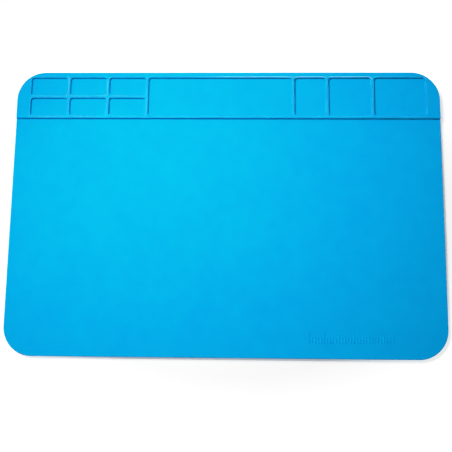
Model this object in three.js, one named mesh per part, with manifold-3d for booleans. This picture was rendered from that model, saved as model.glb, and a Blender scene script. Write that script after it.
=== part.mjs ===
// Silicone repair mat, moulded in one piece: a thin flat sheet with round corners, a low raised strip
// along its back edge, and shallow pockets in the strip that keep screws and small parts apart.
// Millimetres, +Z up, +X along the mat, +Y towards the strip. The origin is under the mat's middle.

import * as THREE from "three";
import { mergeVertices } from "three/addons/utils/BufferGeometryUtils.js";
import Module from "manifold-3d";

// Driving dimensions of the sheet
const matLength = 300;
const matWidth = 200;
const cornerRadius = 20;
const sheetThickness = 2;
const lipRadius = 1;

// Driving dimensions of the strip and its pockets
const stripRise = 1;
const backRim = 4;
const sideRim = 10;
const thinnestRim = 1.5;
const ribWidth = 2;
const pocketCornerRadius = 2;
const smallPocketLength = 26;
const smallPocketWidth = 13;
const smallPocketColumns = 3;
const smallPocketRows = 2;
const narrowPocketLength = 22;
const middlePocketLength = 30;
const widePocketLength = 36;

// How finely the round stretches are divided, and how far a cutting solid runs past what it cuts
const cornerDivisions = 8;
const pocketCornerDivisions = 2;
const lipDivisions = 4;
const overcut = 1;

// Sizes that follow from the driving dimensions
const left = -matLength / 2;
const front = -matWidth / 2;
const back = matWidth / 2;
const stripTop = sheetThickness + stripRise;
const pocketFieldWidth = smallPocketRows * smallPocketWidth + (smallPocketRows - 1) * ribWidth;
const stripFront = back - backRim - pocketFieldWidth - ribWidth;

const wasm = await Module();
wasm.setup();

// A rectangle with round corners, as an outline in plan
function roundedRectangle(x, y, length, width, radius) {
  const outline = new THREE.Shape();
  const quarter = Math.PI / 2;
  outline.absarc(x + length - radius, y + width - radius, radius, 0, quarter);
  outline.absarc(x + radius, y + width - radius, radius, quarter, 2 * quarter);
  outline.absarc(x + radius, y + radius, radius, 2 * quarter, 3 * quarter);
  outline.absarc(x + length - radius, y + radius, radius, 3 * quarter, 4 * quarter);
  outline.closePath();
  return outline;
}

// The mat's own outline, drawn in from its edge by an inset
function matOutline(inset) {
  return roundedRectangle(
    left + inset,
    front + inset,
    matLength - 2 * inset,
    matWidth - 2 * inset,
    cornerRadius - inset,
  );
}

// A closed mesh with its shared vertices merged, as a solid that can be joined and cut
function toSolid(geometry) {
  const bare = geometry.clone();
  bare.deleteAttribute("normal");
  bare.deleteAttribute("uv");
  const merged = mergeVertices(bare);
  const vertProperties = new Float32Array(merged.attributes.position.array);
  const triVerts = new Uint32Array(merged.index.array);
  return new wasm.Manifold(new wasm.Mesh({ numProp: 3, vertProperties, triVerts }));
}

function toGeometry(solid) {
  const mesh = solid.getMesh();
  const geometry = new THREE.BufferGeometry();
  geometry.setAttribute("position", new THREE.BufferAttribute(mesh.vertProperties, 3));
  geometry.setIndex(new THREE.BufferAttribute(mesh.triVerts, 1));
  geometry.computeVertexNormals();
  return geometry;
}

// A slab of the mat's outline with a flat underside and a rounded upper edge. The extrusion is rounded at
// both ends, so it starts one lip lower and its lower end is cut off at the underside.
function roundedSlab(top) {
  const slab = new THREE.ExtrudeGeometry(matOutline(0), {
    depth: top - lipRadius,
    bevelThickness: lipRadius,
    bevelSize: lipRadius,
    bevelOffset: -lipRadius,
    bevelSegments: lipDivisions,
    curveSegments: cornerDivisions,
  });
  const below = new THREE.BoxGeometry(matLength + 2 * overcut, matWidth + 2 * overcut, 2 * lipRadius);
  below.translate(0, 0, -lipRadius);
  return toSolid(slab).subtract(toSolid(below));
}

// The raised strip is the back end of a thicker slab, from the step to the back edge
function raisedStrip() {
  const length = matLength + 2 * overcut;
  const width = back - stripFront + overcut;
  const reach = new THREE.BoxGeometry(length, width, 2 * stripTop);
  reach.translate(0, stripFront + width / 2, stripTop);
  return roundedSlab(stripTop).intersect(toSolid(reach));
}

// Every pocket as [x, y, length, width] in plan. The small pockets stand in rows at the left end, the long
// pocket takes the length that is left over, and the three end pockets fill the right end.
function pocketPlans() {
  const plans = [];
  const pocketFront = stripFront + ribWidth;
  let x = left + sideRim;
  for (let column = 0; column < smallPocketColumns; column += 1) {
    for (let row = 0; row < smallPocketRows; row += 1) {
      const y = pocketFront + row * (smallPocketWidth + ribWidth);
      plans.push([x, y, smallPocketLength, smallPocketWidth]);
    }
    x += smallPocketLength + ribWidth;
  }
  const endPockets = [narrowPocketLength, middlePocketLength, widePocketLength];
  const endLength = endPockets.reduce((sum, length) => sum + length + ribWidth, 0);
  const longPocketLength = -left - sideRim - endLength - x;
  for (const length of [longPocketLength, ...endPockets]) {
    plans.push([x, pocketFront, length, pocketFieldWidth]);
    x += length + ribWidth;
  }
  return plans;
}

// The room of one pocket, from the level of the sheet to above the strip
function pocketRoom([x, y, length, width]) {
  const room = new THREE.ExtrudeGeometry(roundedRectangle(x, y, length, width, pocketCornerRadius), {
    depth: stripRise + overcut,
    bevelEnabled: false,
    curveSegments: pocketCornerDivisions,
  });
  room.translate(0, 0, sheetThickness);
  return toSolid(room);
}

// No pocket comes nearer to the mat's edge than the thinnest rim, also where the mat's corner is round
function pocketLimit() {
  const limit = new THREE.ExtrudeGeometry(matOutline(thinnestRim), {
    depth: stripTop + 2 * overcut,
    bevelEnabled: false,
    curveSegments: cornerDivisions,
  });
  return toSolid(limit);
}

function matGeometry() {
  const limit = pocketLimit();
  let mat = roundedSlab(sheetThickness).add(raisedStrip());
  for (const plan of pocketPlans()) {
    mat = mat.subtract(pocketRoom(plan).intersect(limit));
  }
  return toGeometry(mat);
}

function blueSilicone() {
  return new THREE.MeshStandardMaterial({ color: 0x06a9e4, roughness: 0.5, metalness: 0, flatShading: true });
}

const repairMat = new THREE.Mesh(matGeometry(), blueSilicone());
repairMat.name = "repair_mat";

const part = new THREE.Group();
part.add(repairMat);

export default part;
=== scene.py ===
from math import cos, pi, radians, sin

import bmesh
import bpy
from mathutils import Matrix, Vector


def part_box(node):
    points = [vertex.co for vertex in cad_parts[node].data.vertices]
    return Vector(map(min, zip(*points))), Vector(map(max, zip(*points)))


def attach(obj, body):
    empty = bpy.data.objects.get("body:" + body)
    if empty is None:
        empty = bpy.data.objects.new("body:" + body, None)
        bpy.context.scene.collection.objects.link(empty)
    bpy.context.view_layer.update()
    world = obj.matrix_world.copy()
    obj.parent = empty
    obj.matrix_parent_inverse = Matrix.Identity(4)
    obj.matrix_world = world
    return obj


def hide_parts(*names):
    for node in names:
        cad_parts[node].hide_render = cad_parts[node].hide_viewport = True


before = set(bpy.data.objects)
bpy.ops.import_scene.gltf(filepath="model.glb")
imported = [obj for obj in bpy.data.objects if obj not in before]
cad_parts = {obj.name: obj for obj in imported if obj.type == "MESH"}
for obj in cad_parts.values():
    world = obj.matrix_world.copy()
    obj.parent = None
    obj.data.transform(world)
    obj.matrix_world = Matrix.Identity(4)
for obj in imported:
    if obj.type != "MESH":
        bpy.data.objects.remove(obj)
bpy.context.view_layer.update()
scene = bpy.context.scene
mm = 0.001


# Camera
# It looks almost straight down on the mat from a little in front of it and right of its middle, so the
# back edge is the shorter one in the picture. Places are in metres and angles in degrees.
camera_place = (22.25 * mm, -79.9 * mm, 455.6 * mm)
camera_tilt = (8.972, 1.507, 0.301)
picture_width = 452
picture_shift = (-0.0311, -0.0076)
focal_length_in_pixels = 666.7

camera_data = bpy.data.cameras.new("camera")
camera_data.sensor_width = 36
camera_data.lens = camera_data.sensor_width * focal_length_in_pixels / picture_width
camera_data.shift_x, camera_data.shift_y = picture_shift
camera = bpy.data.objects.new("camera", camera_data)
camera.location = camera_place
camera.rotation_mode = "ZYX"
camera.rotation_euler = [radians(angle) for angle in camera_tilt]
scene.collection.objects.link(camera)
scene.camera = camera


# The mat
# One piece of blue silicone rubber, pressed hot in a two-part steel mould: a thin flexible sheet with a
# raised strip along its back edge. The mould's cutter left every rim and pocket with a small round lip,
# and its blasted surface gives the silicone a fine matt grain all over.
low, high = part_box("repair_mat")
mat_size = (high.x - low.x, high.y - low.y)
strip_top = high.z
strip_rise = 1.0 * mm
sheet_top = strip_top - strip_rise
corner_radius = 20 * mm
corner_segments = 24
outer_lip = 0.5 * mm
outer_lip_steps = 6
foot_round = 0.2 * mm
foot_steps = 2

back_rim = 4 * mm
side_rim = 10 * mm
rib = 2 * mm
step_lip = 0.3 * mm
step_lip_segments = 3
small_pocket = (26 * mm, 13 * mm)
small_columns = 3
small_rows = 2
end_pocket_lengths = (22 * mm, 30 * mm, 36 * mm)
pocket_radius = 2 * mm
pocket_segments = 6
pocket_lip = 0.15 * mm
pocket_lip_steps = 4
pocket_fillet = 0.15 * mm
fillet_steps = 3
dish_outer = 0.85 * mm
dish_inner = 0.45 * mm
dish_depth = 0.06 * mm

scale_start = 57 * mm
scale_front = -89.5 * mm
scale_marks = 29
mark_pitch = 2 * mm
mark_width = 0.6 * mm
mark_end_radius = 0.45 * mark_width
mark_segments = 2
mark_rise = 0.15 * mm
mark_spread = 0.1 * mm
mark_lengths = (6.5 * mm, 3.5 * mm, 3.5 * mm, 3.5 * mm, 3.5 * mm)

field_width = small_rows * small_pocket[1] + (small_rows - 1) * rib
pocket_front = high.y - back_rim - field_width
step = pocket_front - rib
hair = 0.01 * mm
level_face = 0.999
sharp_edge = radians(40)


def ring(shape, middle, size, radius, segments, level):
    """One outline with round corners at a level. Returns its face."""
    known = set(shape.faces)
    corners = bmesh.ops.create_grid(shape, x_segments=1, y_segments=1, size=0.5)["verts"]
    bmesh.ops.scale(shape, vec=(size[0], size[1], 1), verts=corners)
    bmesh.ops.translate(shape, vec=(middle[0], middle[1], level), verts=corners)
    bmesh.ops.bevel(
        shape, geom=corners, offset=radius, segments=segments, profile=0.5, affect="VERTICES", material=-1
    )
    return next(face for face in shape.faces if face not in known)


def stack(shape, middle, size, radius, segments, profile):
    """Outlines on top of each other, joined by walls. A profile holds, for each, how far it is drawn outwards
    from the size and its level. Returns the faces that close the first and the last one."""
    faces = []
    for out, level in profile:
        grown = (size[0] + 2 * out, size[1] + 2 * out)
        faces.append(ring(shape, middle, grown, radius + out, segments, level))
    loops = [list(face.edges) for face in faces]
    bmesh.ops.delete(shape, geom=faces[1:-1], context="FACES_ONLY")
    for below, above in zip(loops, loops[1:]):
        bmesh.ops.bridge_loops(shape, edges=below + above)
    return faces[0], faces[-1]


def quarter_round(steps):
    """The angles of a quarter circle's points, end points included."""
    return [pi / 2 * i / steps for i in range(steps + 1)]


def sheet_body(shape):
    """The sheet without its strip: a round foot, a straight edge and the round lip at the top."""
    profile = []
    for a in quarter_round(foot_steps):
        profile.append((-foot_round * (1 - sin(a)), foot_round * (1 - cos(a))))
    for a in quarter_round(outer_lip_steps):
        profile.append((-outer_lip * (1 - cos(a)), sheet_top - outer_lip * (1 - sin(a))))
    stack(shape, (0, 0), mat_size, corner_radius, corner_segments, profile)


def raise_strip(shape):
    """Lifts the sheet's upper side behind the step, its outer lip included, to the strip's level."""
    upper = [f for f in shape.faces if f.calc_center_median().z > sheet_top - outer_lip]
    around = {part for f in upper for part in (*f.edges, *f.verts)}
    bmesh.ops.bisect_plane(shape, geom=[*upper, *around], plane_co=(0, step, 0), plane_no=(0, 1, 0))
    strip = set()
    for face in shape.faces:
        middle = face.calc_center_median()
        if middle.y > step and middle.z > sheet_top - outer_lip:
            strip.update((face, *face.edges, *face.verts))
    lifted = bmesh.ops.extrude_face_region(shape, geom=list(strip))["geom"]
    verts = [v for v in lifted if isinstance(v, bmesh.types.BMVert)]
    bmesh.ops.translate(shape, vec=(0, 0, strip_rise), verts=verts)


def round_step(shape):
    """Rounds the step's long upper edge."""
    crest = []
    for edge in shape.edges:
        if all(abs(v.co.y - step) < hair and v.co.z > strip_top - hair for v in edge.verts):
            crest.append(edge)
    bmesh.ops.bevel(
        shape, geom=crest, offset=step_lip, segments=step_lip_segments, profile=0.5, affect="EDGES", material=-1
    )


def sink_pocket(shape, x, y, length, width):
    """One pocket, with a faint dish around it, from its lip down to its floor. Returns its mouth's face.
    The dish ends a hair above the lip, since two outlines at one level can be bridged with a twist."""
    lip_top = strip_top - dish_depth
    profile = [(dish_outer, strip_top), (dish_inner, lip_top + hair)]
    for a in quarter_round(pocket_lip_steps):
        profile.append((pocket_lip * (1 - sin(a)), lip_top - pocket_lip * (1 - cos(a))))
    for a in quarter_round(fillet_steps):
        profile.append((-pocket_fillet * (1 - cos(a)), sheet_top + pocket_fillet * (1 - sin(a))))
    middle = (x + length / 2, y + width / 2)
    return stack(shape, middle, (length, width), pocket_radius, pocket_segments, profile)[0]


def sink_pockets(shape):
    """The small pockets in their rows, the long one in the room that is left, and the end pockets."""
    mouths = []
    x = low.x + side_rim
    for column in range(small_columns):
        for row in range(small_rows):
            y = pocket_front + row * (small_pocket[1] + rib)
            mouths.append(sink_pocket(shape, x, y, *small_pocket))
        x += small_pocket[0] + rib
    end_length = sum(length + rib for length in end_pocket_lengths)
    long_pocket_length = high.x - side_rim - end_length - x
    for length in (long_pocket_length, *end_pocket_lengths):
        mouths.append(sink_pocket(shape, x, pocket_front, length, field_width))
        x += length + rib
    return mouths


def raise_scale(shape):
    """A row of plain marks that stand out of the work surface. Returns the faces under them."""
    feet = []
    for number in range(scale_marks):
        length = mark_lengths[number % len(mark_lengths)]
        middle = (scale_start + number * mark_pitch, scale_front + length / 2)
        profile = [(mark_spread, sheet_top), (0, sheet_top + mark_rise)]
        feet.append(stack(shape, middle, (mark_width, length), mark_end_radius, mark_segments, profile)[0])
    return feet


def open_flat(shape, level, mouths):
    """Makes the largest flat face at a level again, with the mouths as holes in it."""
    flats = []
    for face in shape.faces:
        if face not in mouths and all(abs(v.co.z - level) < hair for v in face.verts):
            flats.append(face)
    whole = max(flats, key=lambda face: face.calc_area())
    rims = [edge for face in (whole, *mouths) for edge in face.edges]
    bmesh.ops.delete(shape, geom=[whole, *mouths], context="FACES_ONLY")
    bmesh.ops.triangle_fill(shape, use_beauty=True, edges=rims, normal=(0, 0, 1))


def shade_smooth(shape):
    """Flat faces stay flat, the rounded ones between them run smoothly into each other."""
    shape.normal_update()
    for face in shape.faces:
        face.smooth = abs(face.normal.z) < level_face
    for edge in shape.edges:
        edge.smooth = edge.calc_face_angle(0) < sharp_edge


def mark_glossy_dish(shape):
    """Gives the sloping faces of the dish around each pocket the value 1 in the layer that the gloss reads."""
    gloss = shape.faces.layers.float.new("lip")
    lowest = strip_top - dish_depth + 0.5 * hair
    for face in shape.faces:
        dished = all(v.co.z > lowest for v in face.verts)
        face[gloss] = 1.0 if dished and face.normal.z < level_face else 0.0


shape = bmesh.new()
sheet_body(shape)
raise_strip(shape)
round_step(shape)
open_flat(shape, strip_top, sink_pockets(shape))
open_flat(shape, sheet_top, raise_scale(shape))
bmesh.ops.recalc_face_normals(shape, faces=shape.faces)
shade_smooth(shape)
mark_glossy_dish(shape)
mesh = bpy.data.meshes.new("silicone_mat")
shape.to_mesh(mesh)
shape.free()
mat = bpy.data.objects.new("silicone_mat", mesh)
scene.collection.objects.link(mat)


class Shade:
    """One output in a material's nodes. Calculating with it adds the nodes that do so."""

    def __init__(self, tree, socket=None):
        self.tree = tree
        self.socket = socket

    def node(self, kind, settings, inputs, output=0):
        """Adds a node of any kind: its settings first, then a value or a link for each input."""
        made = self.tree.nodes.new(kind)
        for name, value in settings.items():
            setattr(made, name, value)
        for name, value in inputs.items():
            if isinstance(value, Shade):
                self.tree.links.new(value.socket, made.inputs[name])
            else:
                made.inputs[name].default_value = value
        return Shade(self.tree, made.outputs[output] if made.outputs else None)

    def maths(self, operation, first, second):
        return self.node("ShaderNodeMath", {"operation": operation}, {0: first, 1: second})

    def __add__(self, other):
        return self.maths("ADD", self, other)

    __radd__ = __add__

    def __sub__(self, other):
        return self.maths("SUBTRACT", self, other)

    def __rsub__(self, other):
        return self.maths("SUBTRACT", other, self)

    def __mul__(self, other):
        return self.maths("MULTIPLY", self, other)

    __rmul__ = __mul__


silicone = bpy.data.materials.new("blue silicone")
silicone.use_nodes = True
silicone.node_tree.nodes.clear()
bare = Shade(silicone.node_tree)
place = bare.node("ShaderNodeTexCoord", {}, {}, "Object")


def noise(size, detail):
    """A cloudy value around 0.5, with patches of about a size."""
    return place.node("ShaderNodeTexNoise", {}, {"Vector": place, "Scale": 1 / size, "Detail": detail}, 0)


waves = noise(20 * mm, 1)
clouds = noise(38 * mm, 2)
patches = noise(9 * mm, 2)
peel = noise(2.2 * mm, 1)
grain = noise(0.45 * mm, 2)

wave_height = 0.05 * mm
peel_height = 0.004 * mm
grain_height = 0.012 * mm
deep_blue = (0.0004, 0.300, 0.635, 1)
bright_blue = (0.0008, 0.362, 0.690, 1)

# A mix of colours has its factor in input 0 and the colours in inputs 6 and 7, and gives output 2.
depth = 0.5 + 0.5 * (clouds - 0.5) + 0.6 * (patches - 0.5)
colour = bare.node("ShaderNodeMix", {"data_type": "RGBA"}, {0: depth, 6: deep_blue, 7: bright_blue}, 2)
height = wave_height * waves + peel_height * peel + grain_height * grain
bumps = bare.node("ShaderNodeBump", {}, {"Strength": 1.0, "Distance": 1.0, "Height": height}, 0)
skin = bare.node(
    "ShaderNodeBsdfPrincipled",
    {},
    {
        "Base Color": colour,
        "Roughness": 0.6 + 0.12 * (grain - 0.5) + 0.1 * (patches - 0.5),
        "IOR": 1.41,
        "Specular IOR Level": 0.03,
        "Coat Weight": bare.node("ShaderNodeAttribute", {"attribute_name": "lip"}, {}, "Fac"),
        "Coat Roughness": 0.15,
        "Normal": bumps,
    },
)
bare.node("ShaderNodeOutputMaterial", {}, {"Surface": skin})
mesh.materials.append(silicone)

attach(mat, "root")
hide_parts("repair_mat")


# Floor
# A plain white table top under the mat, wide enough to fill every view. It gives off a little light of its
# own, less near the mat, so that it is as white as paper all round and keeps the mat's soft shadow.
floor_size = 6.0
floor_grid = bmesh.new()
bmesh.ops.create_grid(floor_grid, x_segments=1, y_segments=1, size=floor_size / 2)
floor_mesh = bpy.data.meshes.new("floor")
floor_grid.to_mesh(floor_mesh)
floor_grid.free()
floor = bpy.data.objects.new("floor", floor_mesh)
scene.collection.objects.link(floor)

shadow_reach = (0.18, 0.13)
glow_starts, glow_is_full = 0.86, 1.15
glow_near, glow_far = 0.14, 0.5

paint = bpy.data.materials.new("white table top")
paint.use_nodes = True
table_top = paint.node_tree.nodes["Principled BSDF"]
table_top.inputs["Base Color"].default_value = (0.94, 0.94, 0.94, 1)
table_top.inputs["Roughness"].default_value = 0.9
table_top.inputs["Specular IOR Level"].default_value = 0.1
bare = Shade(paint.node_tree)
spot = bare.node("ShaderNodeTexCoord", {}, {}, "Object")
squeeze = (1 / shadow_reach[0], 1 / shadow_reach[1], 0)
oval = bare.node("ShaderNodeVectorMath", {"operation": "MULTIPLY"}, {0: spot, 1: squeeze})
away = bare.node("ShaderNodeVectorMath", {"operation": "LENGTH"}, {0: oval}, "Value")
fade = {"From Min": glow_starts, "From Max": glow_is_full, "To Min": glow_near, "To Max": glow_far}
glow = bare.node("ShaderNodeMapRange", {}, {"Value": away, **fade})
paint.node_tree.links.new(glow.socket, table_top.inputs["Emission Color"])
table_top.inputs["Emission Strength"].default_value = 1.0
floor_mesh.materials.append(paint)


# Light
# One long soft box behind the mat's left end, close enough that the light falls off towards the front
# right corner, and the pale room all round. Places and sizes are in metres.
lamp_place = (-0.262, 0.265, 0.330)
lamp_aim = (0.030, -0.030, 0)

lamp_data = bpy.data.lights.new("soft box", "AREA")
lamp_data.shape = "RECTANGLE"
lamp_data.size = 0.42
lamp_data.size_y = 0.10
lamp_data.energy = 0.62
lamp_data.spread = radians(67)
lamp = bpy.data.objects.new("soft box", lamp_data)
lamp.location = lamp_place
lamp.rotation_euler = (Vector(lamp_aim) - Vector(lamp_place)).to_track_quat("-Z", "Y").to_euler()
lamp.visible_glossy = False
scene.collection.objects.link(lamp)

# A narrow lamp overhead that shows only as the thin glint along the pockets' back lips.
glint_place = (0.075, 0.165, 0.500)

glint_data = bpy.data.lights.new("overhead strip", "AREA")
glint_data.shape = "RECTANGLE"
glint_data.size = 0.22
glint_data.size_y = 0.08
glint_data.energy = 0.27
glint = bpy.data.objects.new("overhead strip", glint_data)
glint.location = glint_place
glint.visible_diffuse = False
scene.collection.objects.link(glint)

room = bpy.data.worlds.new("room")
room.use_nodes = True
room_light = room.node_tree.nodes["Background"]
room_light.inputs["Color"].default_value = (1, 1, 1, 1)
room_light.inputs["Strength"].default_value = 0.22
scene.world = room

# The picture's own contrast: a camera's curve, steep in the middle and flat towards white. Of the four
# curves, number 3 works on all colours together.
tone_points = ((0.25, 0.332), (0.45, 0.64), (0.60, 0.80), (0.80, 0.895))
all_colours = 3

scene.view_settings.view_transform = "Standard"
scene.view_settings.use_curve_mapping = True
tones = scene.view_settings.curve_mapping
for point in tone_points:
    tones.curves[all_colours].points.new(*point)
tones.update()
